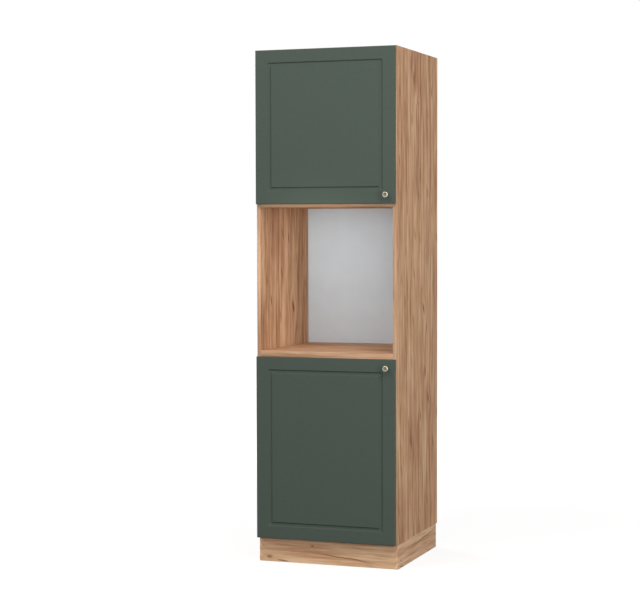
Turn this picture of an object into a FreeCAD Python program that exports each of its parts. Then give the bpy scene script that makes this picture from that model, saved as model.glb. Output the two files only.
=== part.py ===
"""Tall oven housing: an oak-decor carcass on a plinth, an open oven niche and two framed doors.

Millimetres. +Z is up and the doors face -Y. The origin lies on the floor, under the centre of the outline.
"""
import FreeCAD, Part
import math
import os

from FreeCAD import Vector

# Carcass
cabinet_width = 600.0
carcass_depth = 580.0
carcass_height = 2000.0
board = 16.0
oven_board = 28.0
edge_band = 0.8
niche_height = 586.0
oven_edge_show = 24.0
niche_top_edge_show = 13.0

# Back
back_sheet = 3.0
back_groove_depth = 8.5
back_groove_gap = 0.2
back_end_gap = 0.5
shelf_back_gap = 1.5
strip_flange = 0.8
strip_height = 18.0
strip_web = 1.0
strip_gap = 0.1
rail_board = 16.0
rail_height = 90.0
wall_hole_radius = 3.5
wall_hole_spacing = 400.0
wall_hole_drop = 45.0

# Loose shelves
shelf_end_gap = 1.0
shelf_front_inset = 30.0
shelf_pin_radius = 2.45
shelf_pin_bite = 8.0
shelf_pin_tongue = 8.0
shelf_pin_tongue_width = 7.0
shelf_pin_tongue_height = 6.0
shelf_pin_inset = 60.0
shelf_hole_pitch = 32.0
shelf_holes_each_way = 2

# Plinth
plinth_height = 100.0
plinth_board = 16.0
plinth_front_setback = 20.0
plinth_back_setback = 18.0
corner_block = 24.0
block_screw_radius = 1.9
block_screw_head_radius = 3.8
block_screw_head = 2.2
block_screw_length = 35.0
block_screw_offset = 5.5

# Board fittings
cam_radius = 7.4
cam_height = 12.5
cam_axis_depth = 8.0
cam_from_end = 34.0
cam_inset = 50.0
cam_slot_width = 1.4
cam_slot_length = 9.0
cam_slot_depth = 1.5
bolt_thread_radius = 2.45
bolt_bite = 10.0
bolt_shank_radius = 2.0
bolt_hole_radius = 3.5
bolt_head_radius = 3.1
bolt_head_length = 5.0
dowel_radius = 4.0
dowel_length = 30.0
dowel_bite = 10.0
dowel_from_cam = 32.0
rail_dowel_spacing = 50.0

# Doors
door_board = 16.0
door_gap = 2.5
door_side_reveal = 2.0
door_end_reveal = 2.0
lower_door_height = 748.0
door_front_round = 3.0
door_back_round = 2.0
groove_inset = 51.0
groove_outer_wall = 4.5
groove_floor = 9.5
groove_inner_wall = 4.5
groove_depth = 5.0
groove_corner = 9.0
bumper_radius = 4.0
bumper_air = 0.1
bumper_inset = 30.0

# Knobs
knob_radius = 12.5
knob_length = 24.0
knob_base_radius = 7.0
knob_base = 2.0
knob_base_slope = 2.0
knob_neck_radius = 4.5
knob_neck_end = 9.0
knob_flare_middle = 14.0
knob_flare_share = 0.34
knob_rim_start = 17.5
knob_rim_width = 8.0
knob_dimple_depth = 1.2
knob_from_side = 34.0
knob_from_end = 35.0
knob_screw_radius = 2.0
knob_screw_head_radius = 4.0
knob_screw_head = 2.0
knob_screw_bite = 10.0
knob_hole_gap = 0.25

# Concealed hinges
hinge_inset = 100.0
cup_radius = 17.5
cup_depth = 13.0
cup_wall = 0.8
cup_tab = 3.0
cup_flange = 1.0
cup_wing_left = 9.0
cup_wing_right = 13.0
cup_wing_half_height = 30.0
cup_wing_round = 5.0
cup_screw_offset = 6.0
cup_screw_half_spacing = 24.0
cup_screw_radius = 1.7
cup_screw_head_radius = 3.4
cup_screw_head = 1.4
cup_screw_length = 11.0
pin_from_edge = 8.0
pin_depth = 9.5
pin_radius = 1.5
pin_half_length = 10.3
pin_gap = 0.05
knuckle_radius = 2.4
arm_thickness = 3.0
arm_width = 12.0
arm_bend = 2.0
arm_rear = 70.0
arm_end_round = 4.0
plate_base = 2.0
plate_boss = 8.5
plate_line = 37.0
plate_base_width = 18.0
plate_half_height = 24.0
plate_round = 6.0
plate_boss_front = 22.0
plate_screw_half_spacing = 16.0
plate_screw_radius = 2.4
plate_screw_head_radius = 4.0
plate_screw_head = 1.8
plate_screw_bite = 11.0
arm_screw_line = 55.0
arm_screw_radius = 2.5
arm_screw_head_radius = 4.0
arm_screw_head = 2.4
arm_screw_bite = 6.0

# Shared clearances
fit_gap = 0.05
hole_end_gap = 0.5

# Places that follow from the sizes above
half_width = cabinet_width / 2
inner_x = half_width - board
front_reach = door_gap + door_board + knob_length
front_y = (front_reach - carcass_depth) / 2
back_y = front_y + carcass_depth
board_front_y = front_y + edge_band
back_rear_y = back_y - rail_board
back_front_y = back_rear_y - back_sheet
fixed_shelf_rear_y = back_front_y - shelf_back_gap
carcass_bottom = plinth_height
carcass_top = plinth_height + carcass_height
bottom_panel_top = carcass_bottom + board
top_panel_bottom = carcass_top - board
lower_door_bottom = carcass_bottom + door_end_reveal
lower_door_top = lower_door_bottom + lower_door_height
oven_shelf_top = lower_door_top + oven_edge_show
oven_shelf_bottom = oven_shelf_top - oven_board
niche_top_bottom = oven_shelf_top + niche_height
niche_top_top = niche_top_bottom + board
upper_door_bottom = niche_top_bottom + niche_top_edge_show
upper_door_top = carcass_top - door_end_reveal
lower_shelf_bottom = (bottom_panel_top + oven_shelf_bottom - board) / 2
upper_shelf_bottom = (niche_top_top + top_panel_bottom - board) / 2
shelf_front_y = front_y + shelf_front_inset
door_left_x = door_side_reveal - half_width
door_right_x = half_width - door_side_reveal
door_back_y = front_y - door_gap
door_front_y = door_back_y - door_board
cup_x = door_left_x + cup_tab + cup_radius
pin_x = door_left_x + pin_from_edge
pin_y = door_back_y - pin_depth


def block(x0, x1, y0, y1, z0, z1):
    """Makes a box from its low and high limits along each axis."""
    return Part.makeBox(x1 - x0, y1 - y0, z1 - z0, Vector(x0, y0, z0))


def rod(radius, start, end):
    """Makes a round bar between two points."""
    run = end - start
    return Part.makeCylinder(radius, run.Length, start, run)


def join(shapes):
    """Fuses touching shapes into one clean solid."""
    return shapes[0].multiFuse(shapes[1:]).removeSplitter()


def rounded_outline(x0, x1, z0, z1, radius, y):
    """Draws a rectangle with round corners in the upright plane at depth y."""
    slant = radius * (1 - math.sqrt(0.5))
    corners = [
        ((x1 - radius, z0), (x1 - slant, z0 + slant), (x1, z0 + radius)),
        ((x1, z1 - radius), (x1 - slant, z1 - slant), (x1 - radius, z1)),
        ((x0 + radius, z1), (x0 + slant, z1 - slant), (x0, z1 - radius)),
        ((x0, z0 + radius), (x0 + slant, z0 + slant), (x0 + radius, z0)),
    ]
    edges = []
    for index, corner in enumerate(corners):
        start, middle, end = [Vector(x, y, z) for x, z in corner]
        next_x, next_z = corners[(index + 1) % len(corners)][0]
        edges.append(Part.Arc(start, middle, end).toShape())
        edges.append(Part.LineSegment(end, Vector(next_x, y, next_z)).toShape())
    return Part.Wire(edges)


class Joinery:
    """Cam fittings and dowels that hold board ends to the sides, and the holes they need."""

    def __init__(self):
        self.cams = []
        self.bolts = []
        self.dowels = []
        self.side_holes = {-1: [], 1: []}

    def fix_board(self, panel, z_low, z_high, y_rear, cams_up):
        """Fits both ends of a level board, with its cams in the top or the under face."""
        cam_face = z_high if cams_up else z_low
        into = -1 if cams_up else 1
        y_front = front_y + cam_inset
        y_back = y_rear - cam_inset
        holes = []
        for side in (-1, 1):
            for y in (y_front, y_back):
                holes += self.add_cam(side, y, cam_face, into)
            for y in (y_front + dowel_from_cam, y_back - dowel_from_cam):
                holes.append(self.add_dowel(side, y, (z_low + z_high) / 2))
        return panel.cut(holes)

    def add_cam(self, side, y, cam_face, into):
        """Adds one cam and its bolt, and returns the holes for them in the board."""
        axis_z = cam_face + into * cam_axis_depth

        def at(from_end):
            return Vector(side * (inner_x - from_end), y, axis_z)

        def down_cam(depth):
            return Vector(side * (inner_x - cam_from_end), y, cam_face + into * depth)

        head_end = cam_from_end + bolt_head_length / 2
        head_start = head_end - bolt_head_length
        thread = rod(bolt_thread_radius, at(-bolt_bite), at(0))
        shank = rod(bolt_shank_radius, at(0), at(head_start))
        head = rod(bolt_head_radius, at(head_start), at(head_end))
        self.bolts.append(join([thread, shank, head]))
        head_room = rod(bolt_hole_radius, at(0), at(head_end + hole_end_gap))
        slot = block(-cam_slot_length / 2, cam_slot_length / 2, -cam_slot_width / 2, cam_slot_width / 2,
                     -cam_slot_depth, cam_slot_depth)
        slot.translate(down_cam(0))
        cam = rod(cam_radius, down_cam(0), down_cam(cam_height))
        self.cams.append(cam.cut([head_room, slot]))
        self.side_holes[side].append(rod(bolt_thread_radius + fit_gap, at(-bolt_bite - hole_end_gap), at(0)))
        pocket = rod(cam_radius + fit_gap, down_cam(0), down_cam(cam_height + hole_end_gap))
        return [pocket, head_room]

    def add_dowel(self, side, y, z):
        """Adds one dowel across a board end, and returns its hole in the board."""
        def at(from_end):
            return Vector(side * (inner_x - from_end), y, z)

        self.dowels.append(rod(dowel_radius, at(-dowel_bite), at(dowel_length - dowel_bite)))
        self.side_holes[side].append(rod(dowel_radius + fit_gap, at(-dowel_bite - hole_end_gap), at(0)))
        return rod(dowel_radius + fit_gap, at(0), at(dowel_length - dowel_bite + hole_end_gap))


def level_board(z_low, z_high, y_rear):
    """Makes a board that spans between the sides, behind its front edge band."""
    return block(-inner_x, inner_x, board_front_y, y_rear, z_low, z_high)


def back_groove():
    """Space that the back needs in the boards round it: a flat slot, open inwards."""
    reach = inner_x + back_groove_depth
    return block(-reach, reach, back_front_y - back_groove_gap, back_rear_y + back_groove_gap,
                 bottom_panel_top - back_groove_depth, top_panel_bottom + back_groove_depth)


def wall_holes(y0, y1):
    """Holes for the two wall screws, through whatever lies between two depths."""
    z = top_panel_bottom - wall_hole_drop
    holes = []
    for x in (-wall_hole_spacing / 2, wall_hole_spacing / 2):
        holes.append(rod(wall_hole_radius, Vector(x, y0, z), Vector(x, y1, z)))
    return holes


def back_panels():
    """Makes the two back sheets and the strip that joins them behind the oven shelf."""
    reach = inner_x + back_groove_depth - back_end_gap
    low = bottom_panel_top - back_groove_depth + back_end_gap
    high = top_panel_bottom + back_groove_depth - back_end_gap
    joint = (oven_shelf_bottom + oven_shelf_top) / 2
    half_joint = strip_web / 2 + strip_gap
    lower = block(-reach, reach, back_front_y, back_rear_y, low, joint - half_joint)
    upper = block(-reach, reach, back_front_y, back_rear_y, joint + half_joint, high)
    upper = upper.cut(wall_holes(back_front_y, back_rear_y))
    front = back_front_y - strip_gap
    rear = back_rear_y + strip_gap
    half_strip = strip_height / 2
    strip = join([
        block(-inner_x, inner_x, front, rear, joint - strip_web / 2, joint + strip_web / 2),
        block(-inner_x, inner_x, front - strip_flange, front, joint - half_strip, joint + half_strip),
        block(-inner_x, inner_x, rear, rear + strip_flange, joint - half_strip, joint + half_strip),
    ])
    return lower, upper, strip


def wall_rail(joinery):
    """Makes the board behind the back that takes the wall screws, dowelled to both sides."""
    rail = block(-inner_x, inner_x, back_rear_y, back_y, top_panel_bottom - rail_height, top_panel_bottom)
    middle_y = (back_rear_y + back_y) / 2
    middle_z = top_panel_bottom - rail_height / 2
    holes = wall_holes(back_rear_y, back_y)
    for side in (-1, 1):
        for step in (-rail_dowel_spacing / 2, rail_dowel_spacing / 2):
            holes.append(joinery.add_dowel(side, middle_y, middle_z + step))
    return rail.cut(holes)


def loose_shelf(z_low):
    """Makes a shelf that lies on four pins."""
    reach = inner_x - shelf_end_gap
    return block(-reach, reach, shelf_front_y + edge_band, fixed_shelf_rear_y, z_low, z_low + board)


def shelf_pin_rows():
    """Lists the depths of the front and rear rows of shelf pins."""
    return shelf_front_y + shelf_pin_inset, fixed_shelf_rear_y - shelf_pin_inset


def shelf_pins(z_low):
    """Makes the four pins under a shelf, each a round peg with a flat tongue."""
    peg_z = z_low - shelf_pin_tongue_height / 2
    pins = []
    for side in (-1, 1):
        for y in shelf_pin_rows():
            peg = rod(shelf_pin_radius, Vector(side * (inner_x + shelf_pin_bite), y, peg_z),
                      Vector(side * inner_x, y, peg_z))
            ends = sorted((side * inner_x, side * (inner_x - shelf_pin_tongue)))
            half = shelf_pin_tongue_width / 2
            tongue = block(ends[0], ends[1], y - half, y + half, z_low - shelf_pin_tongue_height, z_low)
            pins.append(join([peg, tongue]))
    return pins


def shelf_pin_holes(side, z_low):
    """Drills the rows of holes that let a shelf sit higher or lower."""
    holes = []
    for y in shelf_pin_rows():
        for step in range(-shelf_holes_each_way, shelf_holes_each_way + 1):
            z = z_low - shelf_pin_tongue_height / 2 + step * shelf_hole_pitch
            holes.append(rod(shelf_pin_radius + fit_gap, Vector(side * inner_x, y, z),
                             Vector(side * (inner_x + shelf_pin_bite + hole_end_gap), y, z)))
    return holes


def side_panel(side, joinery):
    """Makes a side board with its back groove, fitting holes and shelf holes."""
    x0, x1 = sorted((side * inner_x, side * half_width))
    panel = block(x0, x1, board_front_y, back_y, carcass_bottom, carcass_top)
    holes = [back_groove()] + joinery.side_holes[side]
    for z_low in (lower_shelf_bottom, upper_shelf_bottom):
        holes += shelf_pin_holes(side, z_low)
    if side < 0:
        for z in hinge_heights("lower") + hinge_heights("upper"):
            holes += plate_screw_holes(z)
    return panel.cut(holes)


def front_edge_bands():
    """Makes the strips glued to the front edges of the carcass boards and the loose shelves."""
    bands = []
    for side in (-1, 1):
        x0, x1 = sorted((side * inner_x, side * half_width))
        bands.append(block(x0, x1, front_y, board_front_y, carcass_bottom, carcass_top))
    levels = [
        (carcass_bottom, bottom_panel_top),
        (oven_shelf_bottom, oven_shelf_top),
        (niche_top_bottom, niche_top_top),
        (top_panel_bottom, carcass_top),
    ]
    for z_low, z_high in levels:
        bands.append(block(-inner_x, inner_x, front_y, board_front_y, z_low, z_high))
    reach = inner_x - shelf_end_gap
    for z_low in (lower_shelf_bottom, upper_shelf_bottom):
        bands.append(block(-reach, reach, shelf_front_y, shelf_front_y + edge_band, z_low, z_low + board))
    return bands


class Plinth:
    """Four boards under the carcass, held together and to the bottom panel by corner blocks."""

    def __init__(self):
        self.front_y = front_y + plinth_front_setback
        self.rear_y = back_y - plinth_back_setback
        self.front_rear_y = self.front_y + plinth_board
        self.back_front_y = self.rear_y - plinth_board
        self.inner_x = half_width - plinth_board
        self.boards = {
            "plinth_front": self.cross_board(self.front_y, self.front_rear_y),
            "plinth_back": self.cross_board(self.back_front_y, self.rear_y),
            "plinth_left": self.side_board(-1),
            "plinth_right": self.side_board(1),
        }
        self.blocks = {}
        self.screws = []
        self.bottom_holes = []
        for side, side_name in ((-1, "left"), (1, "right")):
            for end, end_name in ((-1, "front"), (1, "back")):
                self.add_corner(side, side_name, end, end_name)

    def cross_board(self, y0, y1):
        """Makes the front or the back board, which fits between the side boards."""
        return block(-self.inner_x, self.inner_x, y0, y1, 0, plinth_height)

    def side_board(self, side):
        """Makes one side board, flush with the carcass side above it."""
        x0, x1 = sorted((side * self.inner_x, side * half_width))
        return block(x0, x1, self.front_y, self.rear_y, 0, plinth_height)

    def add_corner(self, side, side_name, end, end_name):
        """Adds one corner block with a screw into each of the three boards that meet there."""
        wall_x = side * self.inner_x
        wall_y = self.front_rear_y if end < 0 else self.back_front_y
        away = Vector(-side, -end, -1)
        low = Vector(wall_x, wall_y, plinth_height)
        high = low + away * corner_block
        x0, x1 = sorted((low.x, high.x))
        y0, y1 = sorted((low.y, high.y))
        body = block(x0, x1, y0, y1, high.z, low.z)
        middle = (low + high) / 2
        shift = block_screw_offset
        runs = {
            f"plinth_{side_name}": (Vector(high.x, middle.y + shift, middle.z - shift), Vector(side, 0, 0)),
            f"plinth_{end_name}": (Vector(middle.x + shift, high.y, middle.z + shift), Vector(0, end, 0)),
            "bottom": (Vector(middle.x - shift, middle.y - shift, high.z), Vector(0, 0, 1)),
        }
        holes = []
        for target, (start, way) in runs.items():
            self.screws.append(headed_screw(start, way, block_screw_radius, block_screw_length,
                                            block_screw_head_radius, block_screw_head))
            hole = rod(block_screw_radius + fit_gap, start, start + way * (block_screw_length + hole_end_gap))
            holes.append(hole)
            if target == "bottom":
                self.bottom_holes.append(hole)
            else:
                self.boards[target] = self.boards[target].cut(hole)
        self.blocks[f"plinth_block_{end_name}_{side_name}"] = body.cut(holes)


def headed_screw(seat, way, radius, length, head_radius, head):
    """Makes a screw whose head lies on the seat and whose shank runs the given way."""
    return join([rod(head_radius, seat - way * head, seat), rod(radius, seat, seat + way * length)])


def door_span(which):
    """Gives a door's bottom and top."""
    spans = {"lower": (lower_door_bottom, lower_door_top), "upper": (upper_door_bottom, upper_door_top)}
    return spans[which]


def hinge_heights(which):
    """Gives the heights of a door's two hinges."""
    z_low, z_high = door_span(which)
    return [z_low + hinge_inset, z_high - hinge_inset]


def knob_place(which):
    """Gives the point on a door's front face where its knob stands."""
    z_low, z_high = door_span(which)
    z = z_high - knob_from_end if which == "lower" else z_low + knob_from_end
    return Vector(door_right_x - knob_from_side, door_front_y, z)


def groove_plug(z_low, z_high, inset, deep_inset):
    """Makes the tapered plug inside one edge of the routed frame line, from the door's face to its floor."""
    return Part.makeWedge(door_left_x + inset, door_front_y, z_low + inset,
                          z_low + deep_inset, door_left_x + deep_inset,
                          door_right_x - inset, door_front_y + groove_depth, z_high - inset,
                          z_high - deep_inset, door_right_x - deep_inset)


def routed_groove(z_low, z_high):
    """Makes the groove of the frame line: two sloping walls, a flat floor and round outer corners."""
    floor_outer = groove_inset + groove_outer_wall
    floor_inner = floor_outer + groove_floor
    outer = groove_plug(z_low, z_high, groove_inset, floor_outer)
    corners = []
    for edge in outer.Edges:
        ends = edge.Vertexes
        if abs(ends[0].Y - ends[-1].Y) > groove_depth / 2:
            corners.append(edge)
    inner = groove_plug(z_low, z_high, floor_inner + groove_inner_wall, floor_inner)
    return outer.makeFillet(groove_corner, corners).cut(inner)


def round_rim(solid, y, radius):
    """Rounds the four edges of a door round the face at depth y."""
    rim = []
    for edge in solid.Edges:
        if all(abs(vertex.Y - y) < fit_gap for vertex in edge.Vertexes):
            rim.append(edge)
    return solid.makeFillet(radius, rim)


def door_panel(which):
    """Makes a door from one board, with its frame line, hinge cup bores and screw holes."""
    z_low, z_high = door_span(which)
    panel = block(door_left_x, door_right_x, door_front_y, door_back_y, z_low, z_high)
    panel = round_rim(panel, door_front_y, door_front_round)
    panel = round_rim(panel, door_back_y, door_back_round)
    knob = knob_place(which)
    holes = [routed_groove(z_low, z_high)]
    holes.append(rod(knob_screw_radius + knob_hole_gap, knob, Vector(knob.x, door_back_y, knob.z)))
    for z in hinge_heights(which):
        bore = cup_depth + hole_end_gap
        holes.append(rod(cup_radius + fit_gap, Vector(cup_x, door_back_y, z), Vector(cup_x, door_back_y - bore, z)))
        for seat in cup_screw_seats(z):
            deep = cup_screw_length + hole_end_gap
            holes.append(rod(cup_screw_radius + fit_gap, seat, seat - Vector(0, deep, 0)))
    return panel.cut(holes)


def knob(which):
    """Turns a knob: base, neck, flared head with a broad round rim and a dimple in its face."""
    foot = knob_place(which)

    def at(radius, out):
        return Vector(foot.x + radius, foot.y - out, foot.z)

    neck_start = knob_base + knob_base_slope
    rim_middle = knob_radius - knob_rim_width / 2
    dimple_edge = knob_radius - knob_rim_width
    shoulder = knob_length - knob_rim_width / 2
    dimple_floor = shoulder - knob_dimple_depth
    ball = (dimple_edge ** 2 + knob_dimple_depth ** 2) / (2 * knob_dimple_depth)
    half_turn = math.asin(dimple_edge / ball) / 2
    dimple_middle = at(ball * math.sin(half_turn), dimple_floor + ball * (1 - math.cos(half_turn)))
    flare_radius = knob_neck_radius + (knob_radius - knob_neck_radius) * knob_flare_share
    flare = at(flare_radius, knob_flare_middle)
    edges = [
        Part.LineSegment(at(0, 0), at(knob_base_radius, 0)).toShape(),
        Part.LineSegment(at(knob_base_radius, 0), at(knob_base_radius, knob_base)).toShape(),
        Part.LineSegment(at(knob_base_radius, knob_base), at(knob_neck_radius, neck_start)).toShape(),
        Part.LineSegment(at(knob_neck_radius, neck_start), at(knob_neck_radius, knob_neck_end)).toShape(),
        Part.Arc(at(knob_neck_radius, knob_neck_end), flare, at(knob_radius, knob_rim_start)).toShape(),
        Part.LineSegment(at(knob_radius, knob_rim_start), at(knob_radius, shoulder)).toShape(),
        Part.Arc(at(knob_radius, shoulder), at(rim_middle, knob_length), at(dimple_edge, shoulder)).toShape(),
        Part.Arc(at(dimple_edge, shoulder), dimple_middle, at(0, dimple_floor)).toShape(),
        Part.LineSegment(at(0, dimple_floor), at(0, 0)).toShape(),
    ]
    head = Part.Face(Part.Wire(edges)).revolve(foot, Vector(0, 1, 0), 360)
    bore = rod(knob_screw_radius + fit_gap, foot, at(0, knob_screw_bite + hole_end_gap))
    return head.cut(bore)


def knob_screw(which):
    """Makes the screw that holds a knob from the back of its door."""
    foot = knob_place(which)
    seat = Vector(foot.x, door_back_y, foot.z)
    return headed_screw(seat, Vector(0, -1, 0), knob_screw_radius, door_board + knob_screw_bite,
                        knob_screw_head_radius, knob_screw_head)


def bumpers(which):
    """Makes the two soft dots on a door's back that meet the right side panel."""
    z_low, z_high = door_span(which)
    x = half_width - board / 2
    dots = []
    for z in (z_low + bumper_inset, z_high - bumper_inset):
        dots.append(rod(bumper_radius, Vector(x, door_back_y, z), Vector(x, front_y - bumper_air, z)))
    return dots


def cup_screw_seats(z):
    """Gives the two points on the door's back face where a cup's screws enter."""
    x = cup_x + cup_screw_offset
    return [Vector(x, door_back_y, z + step) for step in (-cup_screw_half_spacing, cup_screw_half_spacing)]


def hinge_pin(z, gap=0.0):
    """Makes the pin that a hinge turns on, or the hole for it with a gap all round."""
    half = Vector(0, 0, pin_half_length + gap)
    middle = Vector(pin_x, pin_y, z)
    return rod(pin_radius + gap, middle - half, middle + half)


def hinge_cup(z):
    """Makes a pressed cup with its screw wings, open towards the carcass."""
    rim_y = door_back_y + cup_flange
    floor_y = door_back_y - cup_depth
    shell = rod(cup_radius, Vector(cup_x, floor_y, z), Vector(cup_x, rim_y, z))
    wing_outline = rounded_outline(cup_x - cup_wing_left, cup_x + cup_wing_right, z - cup_wing_half_height,
                                   z + cup_wing_half_height, cup_wing_round, door_back_y)
    wings = Part.Face(wing_outline).extrude(Vector(0, cup_flange, 0))
    hollow = rod(cup_radius - cup_wall, Vector(cup_x, floor_y + cup_wall, z), Vector(cup_x, rim_y, z))
    holes = [hollow, hinge_pin(z, fit_gap)]
    for seat in cup_screw_seats(z):
        holes.append(rod(cup_screw_radius + fit_gap, seat, seat + Vector(0, cup_flange, 0)))
    return join([shell, wings]).cut(holes)


def cup_screws(z):
    """Makes the two screws that hold a cup's wings to the door."""
    screws = []
    for seat in cup_screw_seats(z):
        head_seat = seat + Vector(0, cup_flange, 0)
        screws.append(headed_screw(head_seat, Vector(0, -1, 0), cup_screw_radius, cup_flange + cup_screw_length,
                                   cup_screw_head_radius, cup_screw_head))
    return screws


def arm_inner_x():
    """Gives the side of a hinge arm that lies on its plate."""
    return plate_boss - inner_x


def arm_screw_seat(z):
    """Gives the point on a hinge arm where its fixing screw's head lies."""
    return Vector(arm_inner_x() + arm_thickness, front_y + arm_screw_line, z)


def hinge_arm(z):
    """Makes a bent arm: a knuckle round the pin, a bar out of the cup and a leg along the plate."""
    half = arm_thickness / 2
    x0 = arm_inner_x()
    x1 = x0 + arm_thickness
    outer_bend = arm_bend + arm_thickness
    bend_x = x0 - arm_bend
    bend_y = pin_y + half + arm_bend
    rear_y = front_y + arm_rear
    z0 = z - arm_width / 2
    slant = math.sqrt(0.5)

    def at(x, y):
        return Vector(x, y, z0)

    def on_bend(radius):
        return at(bend_x + radius * slant, bend_y - radius * slant)

    edges = [
        Part.LineSegment(at(pin_x, pin_y - half), at(bend_x, pin_y - half)).toShape(),
        Part.Arc(at(bend_x, pin_y - half), on_bend(outer_bend), at(x1, bend_y)).toShape(),
        Part.LineSegment(at(x1, bend_y), at(x1, rear_y)).toShape(),
        Part.LineSegment(at(x1, rear_y), at(x0, rear_y)).toShape(),
        Part.LineSegment(at(x0, rear_y), at(x0, bend_y)).toShape(),
        Part.Arc(at(x0, bend_y), on_bend(arm_bend), at(bend_x, pin_y + half)).toShape(),
        Part.LineSegment(at(bend_x, pin_y + half), at(pin_x, pin_y + half)).toShape(),
        Part.LineSegment(at(pin_x, pin_y + half), at(pin_x, pin_y - half)).toShape(),
    ]
    strap = Part.Face(Part.Wire(edges)).extrude(Vector(0, 0, arm_width))
    strap = strap.makeFillet(arm_end_round, rear_corner_edges(strap, rear_y))
    knuckle = rod(knuckle_radius, at(pin_x, pin_y), at(pin_x, pin_y) + Vector(0, 0, arm_width))
    eye = rod(pin_radius + pin_gap, at(pin_x, pin_y), at(pin_x, pin_y) + Vector(0, 0, arm_width))
    seat = arm_screw_seat(z)
    screw_hole = rod(arm_screw_radius + fit_gap, seat - Vector(arm_thickness, 0, 0), seat)
    return join([strap, knuckle]).cut([eye, screw_hole])


def rear_corner_edges(strap, rear_y):
    """Picks the two edges across an arm's rear end that are rounded."""
    picked = []
    for edge in strap.Edges:
        ends = edge.Vertexes
        across = abs(ends[0].X - ends[-1].X) > arm_thickness / 2
        if across and all(abs(vertex.Y - rear_y) < fit_gap for vertex in ends):
            picked.append(edge)
    return picked


def plate_screw_seats(z):
    """Gives the two points on a mounting plate where its screws' heads lie."""
    x = plate_base - inner_x
    y = front_y + plate_line
    return [Vector(x, y, z + step) for step in (-plate_screw_half_spacing, plate_screw_half_spacing)]


def plate_screw_holes(z):
    """Makes the holes for a mounting plate's screws, through the plate and into the side panel."""
    holes = []
    for seat in plate_screw_seats(z):
        deep = plate_base + plate_screw_bite + hole_end_gap
        holes.append(rod(plate_screw_radius + fit_gap, seat, seat - Vector(deep, 0, 0)))
    return holes


def hinge_plate(z):
    """Makes a mounting plate on the left side panel: a cross wing and a raised rib for the arm."""
    y = front_y + plate_line
    wing = block(-inner_x, plate_base - inner_x, y - plate_base_width / 2, y + plate_base_width / 2,
                 z - plate_half_height, z + plate_half_height)
    tips = []
    for edge in wing.Edges:
        ends = edge.Vertexes
        if abs(ends[0].X - ends[-1].X) > plate_base / 2:
            tips.append(edge)
    wing = wing.makeFillet(plate_round, tips)
    rib = block(-inner_x, arm_inner_x(), front_y + plate_boss_front, front_y + arm_rear,
                z - arm_width / 2, z + arm_width / 2)
    seat = arm_screw_seat(z)
    deep = arm_thickness + arm_screw_bite + hole_end_gap
    arm_hole = rod(arm_screw_radius + fit_gap, seat, seat - Vector(deep, 0, 0))
    return join([wing, rib]).cut(plate_screw_holes(z) + [arm_hole])


def plate_screws(z):
    """Makes the two screws that hold a mounting plate."""
    screws = []
    for seat in plate_screw_seats(z):
        screws.append(headed_screw(seat, Vector(-1, 0, 0), plate_screw_radius, plate_base + plate_screw_bite,
                                   plate_screw_head_radius, plate_screw_head))
    return screws


def arm_screw(z):
    """Makes the screw that holds an arm on its plate."""
    return headed_screw(arm_screw_seat(z), Vector(-1, 0, 0), arm_screw_radius, arm_thickness + arm_screw_bite,
                        arm_screw_head_radius, arm_screw_head)


def carcass_nodes():
    """Makes every piece of the carcass and the plinth, by name."""
    joinery = Joinery()
    plinth = Plinth()
    nodes = {}
    top = level_board(top_panel_bottom, carcass_top, back_y).cut(back_groove())
    nodes["top_panel"] = joinery.fix_board(top, top_panel_bottom, carcass_top, back_front_y, True)
    niche_top = level_board(niche_top_bottom, niche_top_top, fixed_shelf_rear_y)
    nodes["niche_top_panel"] = joinery.fix_board(niche_top, niche_top_bottom, niche_top_top,
                                                 fixed_shelf_rear_y, True)
    oven_shelf = level_board(oven_shelf_bottom, oven_shelf_top, fixed_shelf_rear_y)
    nodes["oven_shelf"] = joinery.fix_board(oven_shelf, oven_shelf_bottom, oven_shelf_top,
                                            fixed_shelf_rear_y, False)
    bottom = level_board(carcass_bottom, bottom_panel_top, back_y).cut([back_groove()] + plinth.bottom_holes)
    nodes["bottom_panel"] = joinery.fix_board(bottom, carcass_bottom, bottom_panel_top, back_front_y, False)
    nodes["lower_back_panel"], nodes["upper_back_panel"], nodes["back_joint_strip"] = back_panels()
    nodes["wall_rail"] = wall_rail(joinery)
    nodes["left_side_panel"] = side_panel(-1, joinery)
    nodes["right_side_panel"] = side_panel(1, joinery)
    nodes["front_edge_bands"] = front_edge_bands()
    nodes["lower_shelf"] = loose_shelf(lower_shelf_bottom)
    nodes["upper_shelf"] = loose_shelf(upper_shelf_bottom)
    nodes["lower_shelf_pins"] = shelf_pins(lower_shelf_bottom)
    nodes["upper_shelf_pins"] = shelf_pins(upper_shelf_bottom)
    nodes["cam_locks"] = joinery.cams
    nodes["cam_bolts"] = joinery.bolts
    nodes["wood_dowels"] = joinery.dowels
    nodes.update(plinth.boards)
    nodes.update(plinth.blocks)
    nodes["plinth_screws"] = plinth.screws
    return nodes


def door_nodes(which):
    """Makes every piece of one door and of the hinges that carry it, by name."""
    nodes = {
        f"{which}_door_panel": door_panel(which),
        f"{which}_knob": knob(which),
        f"{which}_knob_screw": knob_screw(which),
        f"{which}_door_bumpers": bumpers(which),
    }
    door_screws = []
    side_screws = []
    arm_screws = []
    for place, z in zip(("bottom", "top"), hinge_heights(which)):
        nodes[f"{which}_{place}_hinge_cup"] = hinge_cup(z)
        nodes[f"{which}_{place}_hinge_pin"] = hinge_pin(z)
        nodes[f"{which}_{place}_hinge_arm"] = hinge_arm(z)
        nodes[f"{which}_{place}_hinge_plate"] = hinge_plate(z)
        door_screws += cup_screws(z)
        side_screws += plate_screws(z)
        arm_screws.append(arm_screw(z))
    nodes[f"{which}_hinge_cup_screws"] = door_screws
    nodes[f"{which}_hinge_plate_screws"] = side_screws
    nodes[f"{which}_hinge_arm_screws"] = arm_screws
    return nodes


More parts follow.
